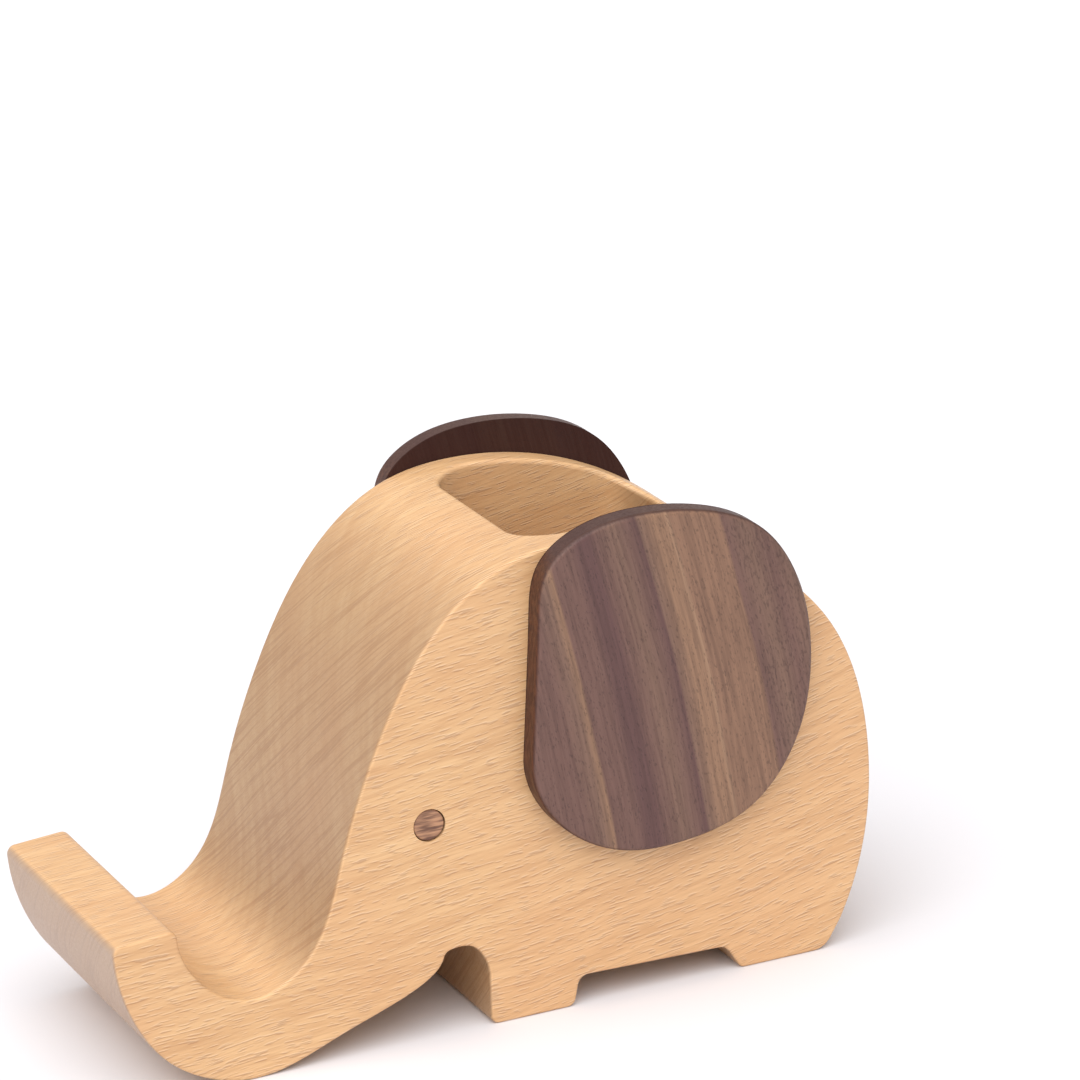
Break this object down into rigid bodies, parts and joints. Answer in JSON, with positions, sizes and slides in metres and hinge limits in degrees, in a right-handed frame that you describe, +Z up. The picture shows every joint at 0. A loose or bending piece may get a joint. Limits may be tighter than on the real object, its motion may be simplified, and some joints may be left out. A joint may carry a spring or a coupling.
{
  "type": "desk organizer",
  "caption": "Wooden desk organizer shaped like an elephant in profile, with a pen pocket in its back and an upturned trunk that holds a phone.",
  "frame": {"origin": "centre of the overall footprint, on the plane that the feet and the lowest point of the trunk stand on", "axes": "+Z up, +X from the trunk's tip towards the rump, +Y from the elephant's left flank to its right flank"},
  "size_m": [0.1783, 0.0766, 0.113],
  "materials": {
    "beech": "satin oiled beech",
    "walnut": "satin oiled walnut",
    "eye_walnut": "satin end plug of walnut"
  },
  "bodies": {
    "root": {"elephant_body": "beech", "left_ear": "walnut", "right_ear": "walnut", "left_eye": "eye_walnut", "right_eye": "eye_walnut"}
  },
  "joints": []
}
